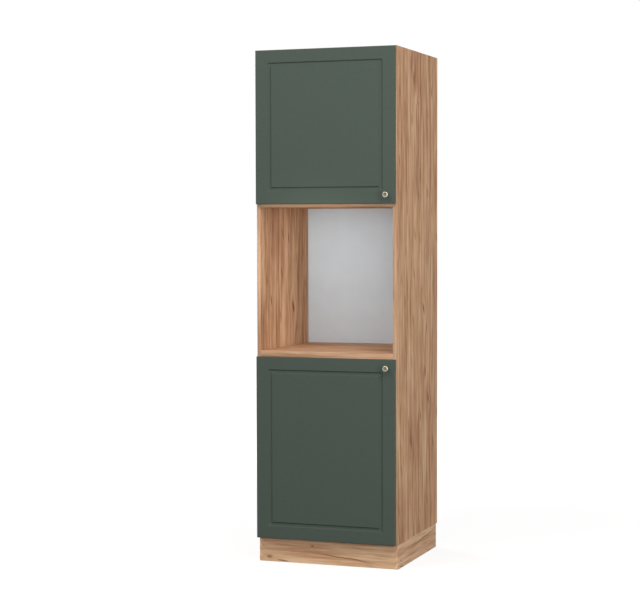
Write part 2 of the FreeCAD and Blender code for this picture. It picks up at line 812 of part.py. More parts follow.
def export(nodes):
    """Writes each named piece, or group of like pieces, to its own file."""
    os.makedirs("parts", exist_ok=True)
    for name, shape in nodes.items():
        if isinstance(shape, list):
            shape = Part.makeCompound(shape)
        shape.exportStep(f"parts/{name}.step")
        print(name, len(shape.Solids), "solids", round(shape.Volume), "mm3", "valid" if shape.isValid() else "BAD")


all_nodes = carcass_nodes()
for door in ("lower", "upper"):
    all_nodes.update(door_nodes(door))
export(all_nodes)
print("floor centre to front plane", round(front_y, 3), "to back", round(back_y, 3))
print("hinge axis", round(pin_x, 3), round(pin_y, 3))
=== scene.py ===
"""Looks of a tall oven housing: oak-decor boards, green framed doors, turned knobs and plated fittings.

Metres. +Z is up and the doors face -Y, in the frame that the construction gives.
"""
import logging
import math
from dataclasses import dataclass
from enum import Enum
from typing import Callable, ClassVar, Iterable, List, Optional, Sequence, Tuple, Union

import bmesh
import bpy
from mathutils import Color, Matrix, Vector


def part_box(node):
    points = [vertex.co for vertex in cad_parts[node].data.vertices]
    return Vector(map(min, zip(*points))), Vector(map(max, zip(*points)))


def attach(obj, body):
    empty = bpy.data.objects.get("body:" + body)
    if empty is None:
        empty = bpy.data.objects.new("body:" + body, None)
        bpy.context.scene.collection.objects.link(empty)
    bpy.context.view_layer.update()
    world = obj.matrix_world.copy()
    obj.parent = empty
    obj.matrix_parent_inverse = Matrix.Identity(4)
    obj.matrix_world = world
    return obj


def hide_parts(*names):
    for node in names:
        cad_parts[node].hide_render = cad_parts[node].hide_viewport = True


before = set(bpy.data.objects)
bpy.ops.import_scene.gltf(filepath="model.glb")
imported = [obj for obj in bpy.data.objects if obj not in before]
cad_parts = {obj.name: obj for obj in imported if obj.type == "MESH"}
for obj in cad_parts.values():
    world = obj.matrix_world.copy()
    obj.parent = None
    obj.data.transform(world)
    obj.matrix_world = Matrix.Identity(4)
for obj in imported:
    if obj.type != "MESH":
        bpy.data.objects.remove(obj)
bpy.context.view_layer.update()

log = logging.getLogger("oven_housing")

Colour = Tuple[float, float, float]
Place = Tuple[float, float, float]
Span = Tuple[float, float]
Gloss = Union[float, Span]
Stops = Tuple[Tuple[float, Colour], ...]
Outline = List[Tuple[float, float]]
Box = Tuple[Vector, Vector]
Mesh = bmesh.types.BMesh
Material = bpy.types.Material
Socket = bpy.types.NodeSocket
Input = Union[float, Colour, Socket]

CARCASS = "carcass"
PLINTH_CORNERS = ("front_left", "front_right", "back_left", "back_right")
HINGE_ENDS = ("bottom", "top")
HINGE_PIECES = ("cup", "pin", "arm", "plate")

SMOOTH_ANGLE = math.radians(35.0)
MERGE_DISTANCE = 1e-6
SORT_DIGITS = 5
CAM_FLUSH = 0.0025
HALF_TURNED = 0.5
NOISE_MEAN = 0.5
NOISE_SPAN = (0.3, 0.7)
MIX_COLOURS = (6, 7)
MIX_RESULT = 2
SCREEN_LEVELS = 255.0


class Axis(Enum):
    """Directions of the cabinet: across its front, into its depth and up."""

    ACROSS = 0
    DEPTH = 1
    UP = 2


class Way(Enum):
    """Directions that a turned piece can point in."""

    RIGHT = (1.0, 0.0, 0.0)
    LEFT = (-1.0, 0.0, 0.0)
    BACK = (0.0, 1.0, 0.0)
    FRONT = (0.0, -1.0, 0.0)
    UP = (0.0, 0.0, 1.0)
    DOWN = (0.0, 0.0, -1.0)

    def vector(self) -> Vector:
        """Gives the direction as a unit vector."""
        return Vector(self.value)


class Storey(Enum):
    """The two closed storeys, each behind its own door."""

    LOWER = "lower"
    UPPER = "upper"


class Sum(Enum):
    """Sums that a finish is worked out with."""

    ADD = "ADD"
    SUBTRACT = "SUBTRACT"
    MULTIPLY = "MULTIPLY"
    DIVIDE = "DIVIDE"
    MULTIPLY_ADD = "MULTIPLY_ADD"
    ROOT = "SQRT"
    ABSOLUTE = "ABSOLUTE"
    MAXIMUM = "MAXIMUM"
    LESS = "LESS_THAN"
    GREATER = "GREATER_THAN"


def shown(*levels: int) -> Colour:
    """Turns a colour as a screen shows it, from 0 to 255, into the linear values that a shader takes."""
    return tuple(Color([level / SCREEN_LEVELS for level in levels]).from_srgb_to_scene_linear())


def two_tone(dark: Colour, pale: Colour, low: float = 0.35, high: float = 0.65) -> Stops:
    """Gives the stops of a ramp from a dark colour to a pale one, over the middle of a pattern."""
    return (low, dark), (high, pale)


class Nodes:
    """The nodes of one material or world, added and linked by short calls."""

    def __init__(self, owner: Union[Material, bpy.types.World]) -> None:
        """Takes a new material or world, and empties its nodes.

        Args:
            owner: The material or world.
        """
        owner.use_nodes = True
        self.owner = owner
        self.tree = owner.node_tree
        self.tree.nodes.clear()

    def put(self, socket: Socket, value: Input) -> None:
        """Links an input to an output, or sets its own value.

        Args:
            socket: The input.
            value: The output that feeds it, or its number or linear colour.
        """
        if isinstance(value, Socket):
            self.tree.links.new(value, socket)
        else:
            socket.default_value = (*value, 1.0) if isinstance(value, tuple) else value

    def node(self, kind: str, *values: Input) -> bpy.types.Node:
        """Adds a node.

        Args:
            kind: The node's kind.
            values: Its first inputs, in order.

        Returns:
            The node.
        """
        node = self.tree.nodes.new(kind)
        for socket, value in zip(node.inputs, values):
            self.put(socket, value)
        return node

    def maths(self, operation: Sum, *values: Input) -> Socket:
        """Adds a sum.

        Args:
            operation: The kind of sum.
            values: Its one to three inputs.

        Returns:
            The result.
        """
        node = self.node("ShaderNodeMath", *values)
        node.operation = operation.value
        return node.outputs[0]

    def seen(self) -> Socket:
        """Tells rays that show the room from rays that only light the object.

        Returns:
            1 for a ray from the camera, a mirror or glass, and 0 for any other.
        """
        rays = self.node("ShaderNodeLightPath").outputs
        shows = self.maths(Sum.MAXIMUM, rays["Is Camera Ray"], rays["Is Glossy Ray"])
        return self.maths(Sum.MAXIMUM, shows, rays["Is Transmission Ray"])


class Graph(Nodes):
    """The nodes of one material, with the patterns and ramps that finishes are made of."""

    def __init__(self, name: str) -> None:
        """Starts an empty material.

        Args:
            name: The finish that the material is named for.
        """
        super().__init__(bpy.data.materials.new(name))
        place = self.node("ShaderNodeTexCoord")
        self.parts = self.split(place.outputs["Object"])
        self.facing = self.split(place.outputs["Normal"])

    def split(self, vector: Socket) -> List[Socket]:
        """Takes a vector apart into its three parts."""
        return list(self.node("ShaderNodeSeparateXYZ", vector).outputs)

    def scaled(self, parts: Sequence[Socket], rates: Sequence[float]) -> Socket:
        """Makes a vector of one to three parts, each times its own rate."""
        products = [self.maths(Sum.MULTIPLY, part, rate) for part, rate in zip(parts, rates)]
        return self.node("ShaderNodeCombineXYZ", *products).outputs[0]

    def off(self, place: Socket, middle: Input, unit: float) -> Socket:
        """Gives how far a place is off a middle, counted in a unit."""
        return self.maths(Sum.DIVIDE, self.maths(Sum.SUBTRACT, place, middle), unit)

    def reach(self, first: Socket, second: Socket) -> Socket:
        """Gives the length of the slant of two distances."""
        squares = [self.maths(Sum.MULTIPLY, part, part) for part in (first, second)]
        return self.maths(Sum.ROOT, self.maths(Sum.ADD, *squares))

    def blend(self, first: Socket, share: float, second: Socket) -> Socket:
        """Adds up two patterns, the first by its share and the second by the rest."""
        return self.maths(Sum.MULTIPLY_ADD, first, share, self.maths(Sum.MULTIPLY, second, 1.0 - share))

    def noise(self, place: Socket, detail: float = 2.0, roughness: float = 0.5) -> Socket:
        """Adds a soft random pattern.

        Args:
            place: Where it is read, counted in patches.
            detail: How many finer layers it has.
            roughness: How strong the finer layers are.

        Returns:
            A value of about 0.5, from 0 to 1.
        """
        node = self.node("ShaderNodeTexNoise", place)
        for name, number in (("Scale", 1.0), ("Detail", detail), ("Roughness", roughness)):
            node.inputs[name].default_value = number
        return node.outputs[0]

    def cells(self, place: Socket, flat: bool = False) -> bpy.types.Node:
        """Adds a pattern of random cells.

        Args:
            place: Where it is read, counted in cells.
            flat: Whether it leaves the third part of the place aside.

        Returns:
            The pattern's node.
        """
        node = self.node("ShaderNodeTexVoronoi", place)
        node.voronoi_dimensions = "2D" if flat else "3D"
        node.inputs["Scale"].default_value = 1.0
        return node

    def ease(self, value: Socket, span: Span, ends: Span = (0.0, 1.0)) -> Socket:
        """Runs smoothly from one number to another.

        Args:
            value: What it follows.
            span: The values at which it starts and stops.
            ends: The numbers that it has there and beyond.

        Returns:
            The number.
        """
        node = self.node("ShaderNodeMapRange", value, *span, *ends)
        node.interpolation_type = "SMOOTHSTEP"
        return node.outputs[0]

    def ramp(self, value: Socket, stops: Stops) -> Socket:
        """Runs through a row of colours.

        Args:
            value: Where along the row, from 0 to 1.
            stops: Places and linear colours, in order.

        Returns:
            The colour.
        """
        node = self.node("ShaderNodeValToRGB", value)
        row = node.color_ramp.elements
        while len(row) < len(stops):
            row.new(1.0)
        for element, (place, colour) in zip(row, stops):
            element.position = place
            element.color = (*colour, 1.0)
        return node.outputs[0]

    def mix(self, factor: Socket, first: Socket, second: Union[Socket, Colour]) -> Socket:
        """Lays one colour over another.

        Args:
            factor: The second colour's share.
            first: The colour beneath.
            second: The colour laid over it.

        Returns:
            The mixed colour.
        """
        node = self.node("ShaderNodeMix", factor)
        node.data_type = "RGBA"
        for index, colour in zip(MIX_COLOURS, (first, second)):
            self.put(node.inputs[index], colour)
        return node.outputs[MIX_RESULT]

    def bump(self, height: Socket, relief: float) -> Socket:
        """Turns a pattern into a surface that catches the light.

        Args:
            height: The pattern.
            relief: How deep it is, in metres.

        Returns:
            The way that the surface faces.
        """
        node = self.node("ShaderNodeBump")
        self.put(node.inputs["Distance"], relief)
        self.put(node.inputs["Height"], height)
        return node.outputs[0]

    def surface(self, **sockets: Input) -> Material:
        """Ends the material in a surface shader.

        Args:
            sockets: The shader's inputs by name, with _ for a space.

        Returns:
            The material.
        """
        shader = self.node("ShaderNodeBsdfPrincipled")
        for name, value in sockets.items():
            self.put(shader.inputs[name.replace("_", " ")], value)
        self.node("ShaderNodeOutputMaterial", shader.outputs[0])
        return self.owner


@dataclass(frozen=True)
class Pattern:
    """A soft random pattern, drawn out along a grain where it has a rate of its own there."""

    rate: float
    along_rate: Optional[float] = None
    detail: float = 2.0
    roughness: float = 0.5

    def read(self, graph: Graph, parts: Sequence[Socket], grain: int = 2) -> Socket:
        """Draws the pattern.

        Args:
            graph: The material's nodes.
            parts: The three parts of the place where it is read.
            grain: The number of the part that runs along the grain.

        Returns:
            A value of about 0.5, from 0 to 1.
        """
        along = self.along_rate or self.rate
        rates = [along if index == grain else self.rate for index in range(len(parts))]
        return graph.noise(graph.scaled(parts, rates), self.detail, self.roughness)


@dataclass(frozen=True)
class Marks:
    """Slim dark marks scattered over a board, at most one to a cell of it."""

    across_rate: float
    along_rate: float
    half_width: float
    half_length: float
    lean: float
    share: float
    strength: Span = (0.3, 0.9)
    fade: Span = (0.2, 1.1)
    push: float = 0.7
    push_fade: Span = (0.8, 5.0)

    def cover(self, graph: Graph, across: Socket, along: Socket) -> Tuple[Socket, Socket]:
        """Scatters the marks.

        Args:
            graph: The material's nodes.
            across: The place across the grain.
            along: The place along the grain.

        Returns:
            The marks' share of the surface, and how far the grain is pushed aside by them.
        """
        place = graph.scaled((across, along), (self.across_rate, self.along_rate))
        cells = graph.cells(place, flat=True)
        heart = graph.split(cells.outputs["Position"])
        here = graph.split(place)
        aside = graph.off(here[0], heart[0], self.across_rate)
        beyond = graph.off(here[1], heart[1], self.along_rate)
        slanted = graph.maths(Sum.MULTIPLY_ADD, beyond, self.lean, aside)
        spread = graph.reach(graph.maths(Sum.DIVIDE, slanted, self.half_width),
                             graph.maths(Sum.DIVIDE, beyond, self.half_length))
        luck = graph.split(cells.outputs["Color"])
        chosen = graph.maths(Sum.LESS, luck[0], self.share)
        strong = graph.maths(Sum.MULTIPLY, chosen, graph.ease(luck[1], (0.0, 1.0), self.strength))
        cover = graph.maths(Sum.MULTIPLY, strong, graph.ease(spread, self.fade, (1.0, 0.0)))
        near = graph.maths(Sum.MULTIPLY, chosen, graph.ease(spread, self.push_fade, (self.push, 0.0)))
        return cover, graph.maths(Sum.MULTIPLY, aside, near)


@dataclass(frozen=True)
class Knot:
    """One dark knot at its own place on a board."""

    along: float
    across: float
    half_length: float
    half_width: float
    strength: float = 0.7
    fade: Span = (0.15, 1.1)

    def cover(self, graph: Graph, across: Socket, along: Socket) -> Socket:
        """Draws the knot.

        Args:
            graph: The material's nodes.
            across: The place across the grain.
            along: The place along the grain.

        Returns:
            Its share of the surface.
        """
        offsets = (across, self.across, self.half_width), (along, self.along, self.half_length)
        spread = graph.reach(*[graph.off(*offset) for offset in offsets])
        return graph.ease(spread, self.fade, (self.strength, 0.0))


@dataclass(frozen=True)
class Shake:
    """A long wavy crack that crosses a board at a slant, with a few single knots beside it."""

    start: float
    end: float
    height: float
    fall: float
    half_width: float
    knots: Tuple[Knot, ...]
    wave_rate: float = 14.0
    wave_height: float = 0.016
    strength: float = 0.75
    fade: Span = (0.2, 1.6)
    lag: float = 0.1
    full_share: float = 0.25

    def cover(self, graph: Graph, across: Socket, along: Socket) -> Socket:
        """Draws the crack and its knots.

        Args:
            graph: The material's nodes.
            across: The place across the grain.
            along: The place along the grain.

        Returns:
            Their share of the surface.
        """
        wave = graph.maths(Sum.SUBTRACT, graph.noise(graph.scaled((along,), (self.wave_rate,))), NOISE_MEAN)
        run = graph.maths(Sum.SUBTRACT, along, self.start)
        line = graph.maths(Sum.ADD, graph.maths(Sum.MULTIPLY_ADD, run, -self.fall, self.height),
                           graph.maths(Sum.MULTIPLY, wave, self.wave_height))
        off = graph.maths(Sum.ABSOLUTE, graph.maths(Sum.SUBTRACT, across, line))
        body = graph.ease(off, tuple(share * self.half_width for share in self.fade), (self.strength, 0.0))
        half = (self.end - self.start) / 2
        middle = (self.start + self.end) / 2 + self.lag * half
        away = graph.maths(Sum.ABSOLUTE, graph.maths(Sum.SUBTRACT, along, middle))
        cover = graph.maths(Sum.MULTIPLY, body, graph.ease(away, (self.full_share * half, half), (1.0, 0.0)))
        for knot in self.knots:
            cover = graph.maths(Sum.MAXIMUM, cover, knot.cover(graph, across, along))
        return cover


@dataclass(frozen=True)
class OakDecor:
    """Printed oak on chipboard: long streaks that part round small knots, and raw board on unbanded edges."""

    name: str
    grain: Axis
    face: Axis
    banded_front: bool = False
    shake: Optional[Shake] = None
    coarse: float = 1.0
    offset: float = 0.0
    # Painted light: a lift of the whole tone, which makes a board lighter than its decor to brighten shade
    # that falls on it.
    painted_light_lift: float = 0.0
    line_depth: float = 0.3
    wander: float = 0.014
    relief: float = 0.00012
    roughness: Span = (0.66, 0.52)
    shine: float = 0.06
    knots: Marks = Marks(across_rate=7.0, along_rate=2.6, half_width=0.0085, half_length=0.032,
                         lean=0.22, share=0.5)
    cracks: Marks = Marks(across_rate=19.0, along_rate=6.5, half_width=0.0042, half_length=0.034,
                          lean=0.12, share=0.55)
    drift: Pattern = Pattern(5.0, 1.6)
    broad: Pattern = Pattern(26.0, 1.5)
    middling: Pattern = Pattern(88.0, 3.6, detail=3.0, roughness=0.62)
    fine: Pattern = Pattern(330.0, 12.0, roughness=0.6)
    lines: Pattern = Pattern(66.0, 2.4, detail=1.0)
    hue: Pattern = Pattern(17.0, 3.4)
    broad_share: float = 0.26
    middling_share: float = 0.52
    fine_share: float = 0.22
    tone_span: Span = (0.32, 0.68)
    line_span: Span = (0.53, 0.62)
    rose_span: Span = (0.4, 0.62)
    tan: Stops = (
        (0.0, shown(168, 124, 91)),
        (0.35, shown(194, 151, 115)),
        (0.65, shown(210, 170, 133)),
        (1.0, shown(228, 191, 155)),
    )
    rose: Stops = (
        (0.0, shown(160, 114, 84)),
        (0.35, shown(187, 142, 108)),
        (0.65, shown(203, 160, 125)),
        (1.0, shown(221, 181, 146)),
    )
    knot_heart: Colour = shown(100, 63, 40)
    crack_heart: Colour = shown(112, 76, 50)
    chip_rate: float = 420.0
    chip_share: float = 0.6
    dust: Pattern = Pattern(900.0, detail=3.0)
    raw: Stops = two_tone(shown(128, 96, 62), shown(200, 170, 128), 0.2, 0.75)

    def material(self) -> Material:
        """Makes the material.

        Returns:
            The material, with its grain along the board.
        """
        graph = Graph(self.name)
        across_axis = next(axis for axis in Axis if axis not in (self.grain, self.face))
        axes = (self.grain, self.face, across_axis)
        along, thick, board_across = (graph.parts[axis.value] for axis in axes)
        across = graph.maths(Sum.DIVIDE, graph.maths(Sum.ADD, board_across, self.offset), self.coarse)
        knot, push = self.knots.cover(graph, across, along)
        drift = graph.maths(Sum.SUBTRACT, self.drift.read(graph, (across, thick, along)), NOISE_MEAN)
        flow = graph.maths(Sum.MULTIPLY_ADD, drift, self.wander, graph.maths(Sum.SUBTRACT, across, push))
        colour, fibre = self.streaks(graph, (flow, thick, along))
        crack, _ = self.cracks.cover(graph, flow, along)
        colour = graph.mix(crack, colour, self.crack_heart)
        colour = graph.mix(knot, colour, self.knot_heart)
        if self.shake:
            colour = graph.mix(self.shake.cover(graph, board_across, along), colour, self.crack_heart)
        colour = graph.mix(self.decor_share(graph), self.chipboard(graph), colour)
        return graph.surface(Base_Color=colour, Roughness=graph.ease(fibre, NOISE_SPAN, self.roughness),
                             Normal=graph.bump(fibre, self.relief), Specular_IOR_Level=self.shine)

    def streaks(self, graph: Graph, parts: Sequence[Socket]) -> Tuple[Socket, Socket]:
        """Prints broad, middling and fine streaks along the grain, tan in places and rosier in others.

        Args:
            graph: The material's nodes.
            parts: The place across the grain, in the thickness and along the grain.

        Returns:
            The colour and the fine relief.
        """
        broad, middling, fine, lines, hue = (
            pattern.read(graph, parts)
            for pattern in (self.broad, self.middling, self.fine, self.lines, self.hue))
        tone = graph.maths(Sum.MULTIPLY, middling, self.middling_share)
        tone = graph.maths(Sum.MULTIPLY_ADD, broad, self.broad_share, tone)
        tone = graph.ease(graph.maths(Sum.MULTIPLY_ADD, fine, self.fine_share, tone), self.tone_span)
        # The lines' ease also adds the painted light lift to the whole tone.
        lines = graph.ease(lines, self.line_span, (self.painted_light_lift, self.painted_light_lift - self.line_depth))
        tone = graph.maths(Sum.ADD, tone, lines)
        rosy = graph.ease(hue, self.rose_span)
        return graph.mix(rosy, graph.ramp(tone, self.tan), graph.ramp(tone, self.rose)), fine

    def chipboard(self, graph: Graph) -> Socket:
        """Makes the pressed chips that a raw board edge shows.

        Args:
            graph: The material's nodes.

        Returns:
            Their colour.
        """
        chips = graph.cells(graph.scaled(graph.parts, (self.chip_rate,) * 3))
        shade = graph.split(chips.outputs["Color"])[0]
        dust = self.dust.read(graph, graph.parts)
        return graph.ramp(graph.blend(shade, self.chip_share, dust), self.raw)

    def decor_share(self, graph: Graph) -> Socket:
        """Tells printed faces and banded ends from raw edges, by the way they face.

        Args:
            graph: The material's nodes.

        Returns:
            1 on decor and 0 on a raw edge.
        """
        turned = graph.maths(Sum.ABSOLUTE, graph.facing[self.face.value])
        printed = graph.maths(Sum.GREATER, turned, HALF_TURNED)
        if not self.banded_front:
            return printed
        front = graph.maths(Sum.LESS, graph.facing[Axis.DEPTH.value], -HALF_TURNED)
        return graph.maths(Sum.MAXIMUM, printed, front)


@dataclass(frozen=True)
class PlinthDecor(OakDecor):
    """The oak decor of the plinth's outer boards, with fainter lines, and its whole tone lifted as painted
    light to brighten the shade that falls on it under the doors.
    """

    # Painted light: the plinth's tone is lifted to brighten the shade that falls on it under the doors.
    painted_light_lift: float = 0.24
    line_depth: float = 0.12


@dataclass(frozen=True)
class Finish:
    """A finish with one row of colours, whose relief and gloss follow its fine pattern."""

    name: str
    stops: Stops
    fine: Pattern
    relief: float
    roughness: Gloss
    patches: Optional[Pattern] = None
    fine_share: float = 1.0
    grain: Axis = Axis.DEPTH
    shine: float = 0.5
    metal: float = 0.0
    clear: float = 0.0

    def material(self) -> Material:
        """Makes the material.

        Returns:
            The material, with its patterns along the grain.
        """
        graph = Graph(self.name)
        tone = fine = self.fine.read(graph, graph.parts, self.grain.value)
        if self.patches:
            patches = self.patches.read(graph, graph.parts, self.grain.value)
            tone = graph.blend(fine, self.fine_share, patches)
        even = isinstance(self.roughness, float)
        gloss = self.roughness if even else graph.ease(fine, NOISE_SPAN, self.roughness)
        return graph.surface(Base_Color=graph.ramp(tone, self.stops), Roughness=gloss,
                             Normal=graph.bump(fine, self.relief), Specular_IOR_Level=self.shine,
                             Metallic=self.metal, Transmission_Weight=self.clear)


@dataclass(frozen=True)
class OakEdging(Finish):
    """Oak-decor edge band, paler than the boards, with fine straight streaks."""

    stops: Stops = (
        (0.34, shown(160, 120, 89)),
        (0.5, shown(189, 150, 119)),
        (0.66, shown(209, 173, 141)),
    )
    fine: Pattern = Pattern(520.0, 12.0, detail=1.0)
    relief: float = 0.00008
    roughness: Gloss = (0.6, 0.5)
    patches: Optional[Pattern] = Pattern(70.0, 2.6, detail=3.0)
    fine_share: float = 0.3
    shine: float = 0.15


@dataclass(frozen=True)
class GreenCoat(Finish):
    """Matt grey-green coating on milled fibreboard, with a faint mottle and an eggshell surface."""

    name: str = "green_coat"
    stops: Stops = two_tone(shown(73, 83, 75), shown(76, 86, 78))
    fine: Pattern = Pattern(1100.0)
    relief: float = 0.00003
    roughness: Gloss = (0.5, 0.58)
    patches: Optional[Pattern] = Pattern(60.0, detail=3.0)
    fine_share: float = 0.6
    shine: float = 0.06


@dataclass(frozen=True)
class PlatedSteel(Finish):
    """Plated pressed steel with a fine brushed grain and cloudy patches."""

    fine: Pattern = Pattern(2600.0, 60.0)
    relief: float = 0.00002
    roughness: Gloss = (0.38, 0.26)
    patches: Optional[Pattern] = Pattern(90.0, detail=3.0)
    fine_share: float = 0.4
    metal: float = 1.0


@dataclass(frozen=True)
class MouldedPlastic(Finish):
    """Moulded plastic with a faint spark-eroded texture, which its colour doesn't follow."""

    fine: Pattern = Pattern(1500.0)
    relief: float = 0.00003
    roughness: Gloss = 0.42
    patches: Optional[Pattern] = Pattern(40.0)
    fine_share: float = 0.0


@dataclass(frozen=True)
class BeechWood(Finish):
    """Plain turned beech with short flecks along the dowel."""

    name: str = "beech_dowel"
    stops: Stops = two_tone(shown(178, 140, 98), shown(214, 180, 138), high=0.62)
    fine: Pattern = Pattern(1100.0, 120.0)
    relief: float = 0.00006
    roughness: Gloss = 0.6
    grain: Axis = Axis.ACROSS


@dataclass(frozen=True)
class TurnedMetal:
    """Pale champagne metal off a lathe: a polished rim with faint rings, and painted shade darkening its
    dimple and the inner slope of its rim, which are also rougher and not metal there.
    """

    name: str
    centre: Place
    stops: Stops = two_tone(shown(156, 151, 134), shown(170, 165, 147), high=0.6)
    # Painted shade: this dark colour is laid over the dimple and the inner slope of the rim, fading out from
    # about half the radius below to that radius.
    painted_shade: Colour = shown(118, 113, 96)
    painted_shade_radius: float = 0.0100
    painted_shade_core: float = 0.55
    shaded_dimple_roughness: float = 0.62
    ring_rates: Span = (4200.0, 1600.0)
    cloud: Pattern = Pattern(160.0, detail=3.0)
    relief: float = 0.00003
    roughness: Span = (0.32, 0.26)

    def material(self) -> Material:
        """Makes the material.

        Returns:
            The material, centred on one knob.
        """
        graph = Graph(self.name)
        aside, above = (graph.maths(Sum.SUBTRACT, graph.parts[axis.value], self.centre[axis.value])
                        for axis in (Axis.ACROSS, Axis.UP))
        radius = graph.reach(aside, above)
        rings = graph.noise(graph.scaled((radius, graph.parts[Axis.DEPTH.value]), self.ring_rates))
        cloud = self.cloud.read(graph, graph.parts)
        # Painted shade: the dimple and inner rim are darkened, and made rougher and less metal, fading out
        # towards the radius where the painted shade ends.
        dull_shaded_dimple = graph.ease(radius, (self.painted_shade_core * self.painted_shade_radius, self.painted_shade_radius), (1.0, 0.0))
        colour = graph.mix(dull_shaded_dimple, graph.ramp(cloud, self.stops), self.painted_shade)
        roughness = graph.maths(Sum.MAXIMUM, graph.ease(cloud, NOISE_SPAN, self.roughness),
                                graph.maths(Sum.MULTIPLY, dull_shaded_dimple, self.shaded_dimple_roughness))
        return graph.surface(Base_Color=colour, Metallic=graph.maths(Sum.SUBTRACT, 1.0, dull_shaded_dimple),
                             Roughness=roughness, Normal=graph.bump(rings, self.relief))


@dataclass(frozen=True)
class CoatedSheet:
    """Thin hardboard, coated white in front and raw brown fibre behind."""

    name: str = "white_back_sheet"
    coat: Stops = two_tone(shown(207, 221, 230), shown(210, 224, 233))
    raw: Stops = two_tone(shown(112, 82, 54), shown(150, 116, 80), 0.32, 0.68)
    cloud: Pattern = Pattern(14.0, detail=4.0)
    fibre: Pattern = Pattern(260.0, detail=5.0, roughness=0.65)
    relief: float = 0.00004
    roughness: Span = (0.6, 0.5)
    shine: float = 0.3

    def material(self) -> Material:
        """Makes the material.

        Returns:
            The material, white where it faces the front.
        """
        graph = Graph(self.name)
        cloud, fibre = (pattern.read(graph, graph.parts) for pattern in (self.cloud, self.fibre))
        front = graph.maths(Sum.LESS, graph.facing[Axis.DEPTH.value], -HALF_TURNED)
        colour = graph.mix(front, graph.ramp(fibre, self.raw), graph.ramp(cloud, self.coat))
        return graph.surface(Base_Color=colour, Roughness=graph.ease(fibre, NOISE_SPAN, self.roughness),
                             Normal=graph.bump(fibre, self.relief), Specular_IOR_Level=self.shine)


ZINC = two_tone(shown(168, 171, 174), shown(205, 207, 208))
PIN_NICKEL = two_tone(shown(178, 174, 166), shown(212, 208, 201))
HINGE_NICKEL = two_tone(shown(180, 176, 168), shown(214, 210, 203))
WHITE = two_tone(shown(226, 226, 221), shown(236, 236, 232))
CLEAR = two_tone(shown(206, 206, 202), shown(222, 222, 218))


def centre_of(box: Box) -> Vector:
    """Gives the middle of a box."""
    return (box[0] + box[1]) / 2


def edges_at(verts: Iterable[bmesh.types.BMVert]) -> List[bmesh.types.BMEdge]:
    """Lists the edges that meet at some points, each once."""
    return list(dict.fromkeys(edge for vert in verts for edge in vert.link_edges))


def solid_boxes(node: str) -> List[Box]:
    """Finds the boxes of the separate solids in a node.

    Args:
        node: The node's name.

    Returns:
        The lowest and highest corner of each solid.
    """
    mesh = bmesh.new()
    mesh.from_mesh(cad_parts[node].data)
    bmesh.ops.remove_doubles(mesh, verts=mesh.verts, dist=MERGE_DISTANCE)
    waiting = set(mesh.verts)
    boxes = []
    while waiting:
        front = [waiting.pop()]
        solid = []
        while front:
            vert = front.pop()
            solid.append(vert.co.copy())
            linked = {edge.other_vert(vert) for edge in vert.link_edges} & waiting
            waiting -= linked
            front += linked
        low, high = (Vector([pick(point[axis.value] for point in solid) for axis in Axis])
                     for pick in (min, max))
        boxes.append((low, high))
    mesh.free()
    return sorted(boxes, key=lambda box: tuple(round(value, SORT_DIGITS) for value in box[0]))


def dress(node: str, material: Material) -> None:
    """Gives a node of the frame its finish.

    Args:
        node: The node's name.
        material: The finish.
    """
    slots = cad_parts[node].data.materials
    if len(slots):
        slots[0] = material
    else:
        slots.append(material)
    log.info("dressed %s in %s", node, material.name)


@dataclass(frozen=True)
class Piece:
    """A modelled piece that stands for a node of the frame."""

    name: str
    body: str
    slot: str
    node: str

    def add(self, mesh: Mesh, materials: Sequence[Material]) -> None:
        """Turns a finished mesh into an object of the scene, riding on its body.

        Args:
            mesh: The shape, in its place.
            materials: Its finishes, in the order of its faces' numbers.
        """
        bmesh.ops.recalc_face_normals(mesh, faces=mesh.faces)
        for face in mesh.faces:
            face.smooth = True
        for edge in mesh.edges:
            edge.smooth = edge.calc_face_angle(math.pi) < SMOOTH_ANGLE
        data = bpy.data.meshes.new(self.name)
        mesh.to_mesh(data)
        mesh.free()
        for material in materials:
            data.materials.append(material)
        made = bpy.data.objects.new(self.name, data)
        bpy.context.scene.collection.objects.link(made)
        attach(made, self.body)
        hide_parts(self.node)
        log.info("made %s with %d faces", self.name, len(data.polygons))


def arc(middle: Tuple[float, float], radii: Tuple[float, float], start: float, end: float,
        steps: int) -> Outline:
    """Gives points on a round or oval stretch of an outline.

    Args:
        middle: The arc's centre.
        radii: Its reach sideways and upwards.
        start: The angle that it starts at, in degrees.
        end: The angle that it ends at, in degrees.
        steps: How many straight steps it is drawn in.

    Returns:
        The points in order, with both ends.
    """
    points = []
    for step in range(steps + 1):
        turn = math.radians(start + (end - start) * step / steps)
        points.append((middle[0] + radii[0] * math.cos(turn), middle[1] + radii[1] * math.sin(turn)))
    return points


def lathe(mesh: Mesh, outline: Outline, foot: Vector, way: Vector, steps: int) -> List[bmesh.types.BMVert]:
    """Spins an outline round an axis.

    Args:
        mesh: The mesh that the shape is added to.
        outline: Pairs of radius and height, from the foot up.
        foot: The point on the axis at no height.
        way: The axis.
        steps: How many flats the round has.

    Returns:
        The new points.
    """
    side = way.orthogonal().normalized()
    before = set(mesh.verts)
    points = [mesh.verts.new(foot + side * radius + way * height) for radius, height in outline]
    edges = [mesh.edges.new(pair) for pair in zip(points, points[1:])]
    bmesh.ops.spin(mesh, geom=points + edges, cent=foot, axis=way, angle=2 * math.pi, steps=steps,
                   use_merge=True)
    made = [vert for vert in mesh.verts if vert not in before]
    bmesh.ops.remove_doubles(mesh, verts=made, dist=MERGE_DISTANCE)
    return [vert for vert in mesh.verts if vert not in before]


